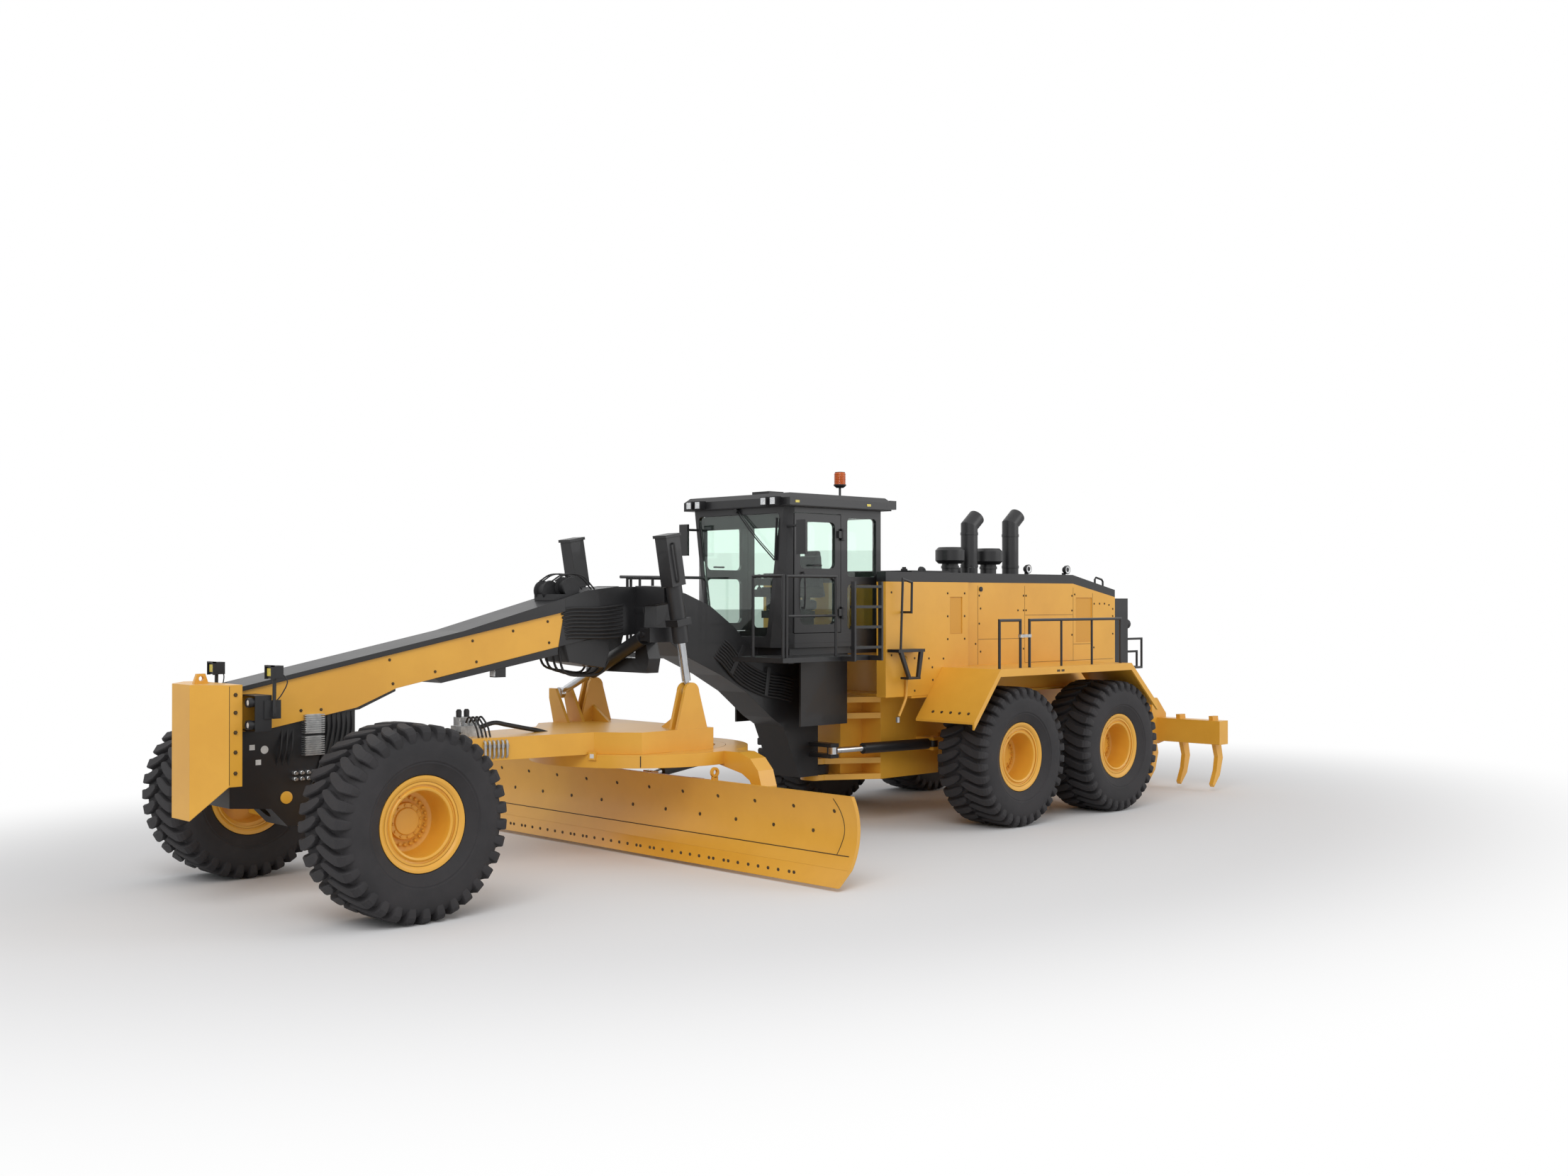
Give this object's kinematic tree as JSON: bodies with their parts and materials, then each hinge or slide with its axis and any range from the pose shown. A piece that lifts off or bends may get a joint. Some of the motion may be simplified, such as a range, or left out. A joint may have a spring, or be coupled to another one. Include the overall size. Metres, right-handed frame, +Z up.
{
  "type": "motor grader",
  "caption": "Large six-wheeled motor grader with an articulated frame, turning circle and curved blade, hollow glazed cab and rear ripper.",
  "frame": {"origin": "on the ground, under the middle of the whole machine's length and width", "axes": "the machine drives towards -Y, +X is its left side, +Z is up"},
  "size_m": [7.3, 16.102, 4.7299],
  "materials": {
    "black": "satin enamel",
    "chrome": "ground and chromed",
    "glass": "green tint",
    "seat_cloth": "woven",
    "tyre": "moulded rubber",
    "yellow": "satin enamel"
  },
  "bodies": {
    "rear_frame": {"rear_frame": "yellow", "tandems": "yellow", "hood": "yellow", "hood_cover": "black", "engine": "black", "stacks": "black", "fenders": "yellow", "fender_rails": "black"},
    "front_frame": {"boom": "yellow", "boom_cover": "black", "gooseneck": "black", "saddle": "black", "front_axle": "yellow", "cab_shell": "black", "cab_glass": "glass", "seat": "seat_cloth", "cab_base": "black", "front_rails": "black", "lamps": "black"},
    "knuckle_left": {"knuckle_left": "yellow"},
    "knuckle_right": {"knuckle_right": "yellow"},
    "tie_rod": {"tie_rod": "yellow"},
    "drawbar": {"drawbar": "yellow"},
    "circle": {"circle": "yellow"},
    "blade_carrier": {"blade_carrier": "yellow"},
    "blade": {"moldboard": "yellow", "cutting_edge": "yellow"},
    "shift_barrel": {"shift_barrel": "black"},
    "shift_rod": {"shift_rod": "chrome"},
    "tip_barrel": {"tip_barrel": "black"},
    "tip_rod": {"tip_rod": "chrome"},
    "door_left": {"door_left": "black", "door_glass_left": "glass"},
    "door_right": {"door_right": "black", "door_glass_right": "glass"},
    "ripper_low_links": {"ripper_low_links": "yellow"},
    "ripper_high_links": {"ripper_high_links": "yellow"},
    "ripper": {"ripper": "yellow"},
    "ripper_barrels": {"ripper_barrels": "black"},
    "ripper_rods": {"ripper_rods": "chrome"},
    "wheel_front_left": {"tyre_front_left": "tyre", "rim_front_left": "yellow"},
    "wheel_middle_left": {"tyre_middle_left": "tyre", "rim_middle_left": "yellow"},
    "wheel_rear_left": {"tyre_rear_left": "tyre", "rim_rear_left": "yellow"},
    "lift_barrel_left": {"lift_barrel_left": "black"},
    "lift_rod_left": {"lift_rod_left": "chrome"},
    "bend_barrel_left": {"bend_barrel_left": "black"},
    "bend_rod_left": {"bend_rod_left": "chrome"},
    "wheel_front_right": {"tyre_front_right": "tyre", "rim_front_right": "yellow"},
    "wheel_middle_right": {"tyre_middle_right": "tyre", "rim_middle_right": "yellow"},
    "wheel_rear_right": {"tyre_rear_right": "tyre", "rim_rear_right": "yellow"},
    "lift_barrel_right": {"lift_barrel_right": "black"},
    "lift_rod_right": {"lift_rod_right": "chrome"},
    "bend_barrel_right": {"bend_barrel_right": "black"},
    "bend_rod_right": {"bend_rod_right": "chrome"}
  },
  "joints": [
    {"name": "articulation", "type": "hinge", "parent": "rear_frame", "child": "front_frame", "pos_m": [0, 0.664, 1.169], "axis": [0, 0, 1], "range_deg": [-25, 25]},
    {"name": "steer_left", "type": "hinge", "parent": "front_frame", "child": "knuckle_left", "pos_m": [1.29, -6.636, 0.932], "axis": [0, 0, 1], "range_deg": [-47.5, 47.5]},
    {"name": "steer_right", "type": "hinge", "parent": "front_frame", "child": "knuckle_right", "pos_m": [-1.29, -6.636, 0.932], "axis": [0, 0, 1], "range_deg": [-47.5, 47.5]},
    {"name": "tie_rod_turn", "type": "hinge", "parent": "knuckle_left", "child": "tie_rod", "pos_m": [1.29, -6.336, 0.767], "axis": [0, 0, 1], "range_deg": [-47.5, 47.5]},
    {"name": "wheel_front_left_spin", "type": "hinge", "parent": "knuckle_left", "child": "wheel_front_left", "pos_m": [1.7325, -6.636, 0.932], "axis": [1, 0, 0], "continuous": true},
    {"name": "wheel_middle_left_spin", "type": "hinge", "parent": "rear_frame", "child": "wheel_middle_left", "pos_m": [1.7325, 2.4995, 0.932], "axis": [1, 0, 0], "continuous": true},
    {"name": "wheel_rear_left_spin", "type": "hinge", "parent": "rear_frame", "child": "wheel_rear_left", "pos_m": [1.7325, 4.7845, 0.932], "axis": [1, 0, 0], "continuous": true},
    {"name": "wheel_front_right_spin", "type": "hinge", "parent": "knuckle_right", "child": "wheel_front_right", "pos_m": [-1.7325, -6.636, 0.932], "axis": [1, 0, 0], "continuous": true},
    {"name": "wheel_middle_right_spin", "type": "hinge", "parent": "rear_frame", "child": "wheel_middle_right", "pos_m": [-1.7325, 2.4995, 0.932], "axis": [1, 0, 0], "continuous": true},
    {"name": "wheel_rear_right_spin", "type": "hinge", "parent": "rear_frame", "child": "wheel_rear_right", "pos_m": [-1.7325, 4.7845, 0.932], "axis": [1, 0, 0], "continuous": true},
    {"name": "drawbar_lift", "type": "hinge", "parent": "front_frame", "child": "drawbar", "pos_m": [0, -6.186, 1.35], "axis": [1, 0, 0], "range_deg": [-8.4, 3.8]},
    {"name": "circle_turn", "type": "hinge", "parent": "drawbar", "child": "circle", "pos_m": [0, -2.366, 1.189], "axis": [0, 0, 1], "range_deg": [-45, 45]},
    {"name": "blade_tip", "type": "hinge", "parent": "circle", "child": "blade_carrier", "pos_m": [0, -2.036, 0.45], "axis": [1, 0, 0], "range_deg": [-5, 40]},
    {"name": "blade_shift", "type": "slide", "parent": "blade_carrier", "child": "blade", "axis": [1, 0, 0], "range_m": [-0.65, 0.65]},
    {"name": "lift_barrel_left_swing", "type": "hinge", "parent": "front_frame", "child": "lift_barrel_left", "pos_m": [0.91, -2.576, 3.08], "axis": [1, 0, 0], "range_deg": [-1.36, 0.64]},
    {"name": "lift_rod_left_slide", "type": "slide", "parent": "lift_barrel_left", "child": "lift_rod_left", "axis": [0, 0.1743, -0.9847], "range_m": [-0.2562, 0.5652]},
    {"name": "lift_barrel_right_swing", "type": "hinge", "parent": "front_frame", "child": "lift_barrel_right", "pos_m": [-0.91, -2.576, 3.08], "axis": [1, 0, 0], "range_deg": [-1.36, 0.64]},
    {"name": "lift_rod_right_slide", "type": "slide", "parent": "lift_barrel_right", "child": "lift_rod_right", "axis": [0, 0.1743, -0.9847], "range_m": [-0.2562, 0.5652]},
    {"name": "shift_barrel_swing", "type": "hinge", "parent": "front_frame", "child": "shift_barrel", "pos_m": [0.61, -2.736, 2.62], "axis": [0, 1, 0], "range_deg": [-13.43, 6.1]},
    {"name": "shift_rod_slide", "type": "slide", "parent": "shift_barrel", "child": "shift_rod", "axis": [-0.914, 0, -0.4056], "range_m": [-0.1053, 0.2316]},
    {"name": "tip_barrel_swing", "type": "hinge", "parent": "circle", "child": "tip_barrel", "pos_m": [0, -1.316, 1.02], "axis": [1, 0, 0], "range_deg": [-1.05, 8.03]},
    {"name": "tip_rod_slide", "type": "slide", "parent": "tip_barrel", "child": "tip_rod", "axis": [0, -0.9908, -0.1351], "range_m": [-0.0385, 0.3008]},
    {"name": "bend_barrel_left_swing", "type": "hinge", "parent": "rear_frame", "child": "bend_barrel_left", "pos_m": [0.84, 2.114, 1.06], "axis": [0, 0, 1], "range_deg": [-3.15, 3.15]},
    {"name": "bend_rod_left_slide", "type": "slide", "parent": "bend_barrel_left", "child": "bend_rod_left", "axis": [-0.1247, -0.9922, 0], "range_m": [-0.283, 0.283]},
    {"name": "bend_barrel_right_swing", "type": "hinge", "parent": "rear_frame", "child": "bend_barrel_right", "pos_m": [-0.84, 2.114, 1.06], "axis": [0, 0, 1], "range_deg": [-3.15, 3.15]},
    {"name": "bend_rod_right_slide", "type": "slide", "parent": "bend_barrel_right", "child": "bend_rod_right", "axis": [0.1247, -0.9922, 0], "range_m": [-0.283, 0.283]},
    {"name": "door_left_swing", "type": "hinge", "parent": "front_frame", "child": "door_left", "pos_m": [0.922, 0.238, 3.36], "axis": [0, 0, 1], "range_deg": [0, 55]},
    {"name": "door_right_swing", "type": "hinge", "parent": "front_frame", "child": "door_right", "pos_m": [-0.922, 0.238, 3.36], "axis": [0, 0, -1], "range_deg": [0, 55]},
    {"name": "ripper_lift", "type": "hinge", "parent": "rear_frame", "child": "ripper_low_links", "pos_m": [0, 6.984, 0.85], "axis": [1, 0, 0], "range_deg": [-30, 25]},
    {"name": "ripper_high_swing", "type": "hinge", "parent": "rear_frame", "child": "ripper_high_links", "pos_m": [0, 6.984, 1.33], "axis": [1, 0, 0], "range_deg": [-30, 25]},
    {"name": "ripper_level", "type": "hinge", "parent": "ripper_low_links", "child": "ripper", "pos_m": [0, 7.624, 0.85], "axis": [1, 0, 0], "range_deg": [-25, 30]},
    {"name": "ripper_barrels_swing", "type": "hinge", "parent": "rear_frame", "child": "ripper_barrels", "pos_m": [0.45, 7.004, 1.85], "axis": [1, 0, 0], "range_deg": [-8.08, 6.75]},
    {"name": "ripper_rods_slide", "type": "slide", "parent": "ripper_barrels", "child": "ripper_rods", "axis": [0, 0.4363, -0.8998], "range_m": [-0.2484, 0.2978]}
  ],
  "couplings": [
    {"joint": "lift_barrel_left_swing", "follows": "drawbar_lift", "ratio": 0.1563},
    {"joint": "lift_rod_left_slide", "follows": "drawbar_lift", "m_per_rad": -3.8481},
    {"joint": "lift_barrel_right_swing", "follows": "drawbar_lift", "ratio": 0.1563},
    {"joint": "lift_rod_right_slide", "follows": "drawbar_lift", "m_per_rad": -3.8481},
    {"joint": "shift_barrel_swing", "follows": "drawbar_lift", "ratio": 1.593},
    {"joint": "shift_rod_slide", "follows": "drawbar_lift", "m_per_rad": -1.5731},
    {"joint": "tip_barrel_swing", "follows": "blade_tip", "ratio": 0.1994},
    {"joint": "tip_rod_slide", "follows": "blade_tip", "m_per_rad": 0.4294},
    {"joint": "bend_barrel_left_swing", "follows": "articulation", "ratio": 0.124},
    {"joint": "bend_rod_left_slide", "follows": "articulation", "m_per_rad": -0.6462},
    {"joint": "bend_barrel_right_swing", "follows": "articulation", "ratio": 0.124},
    {"joint": "bend_rod_right_slide", "follows": "articulation", "m_per_rad": 0.6462},
    {"joint": "steer_right", "follows": "steer_left", "ratio": 1},
    {"joint": "tie_rod_turn", "follows": "steer_left", "ratio": -1},
    {"joint": "ripper_high_swing", "follows": "ripper_lift", "ratio": 1},
    {"joint": "ripper_level", "follows": "ripper_lift", "ratio": -1},
    {"joint": "ripper_barrels_swing", "follows": "ripper_lift", "ratio": 0.2678},
    {"joint": "ripper_rods_slide", "follows": "ripper_lift", "m_per_rad": -0.5669}
  ]
}
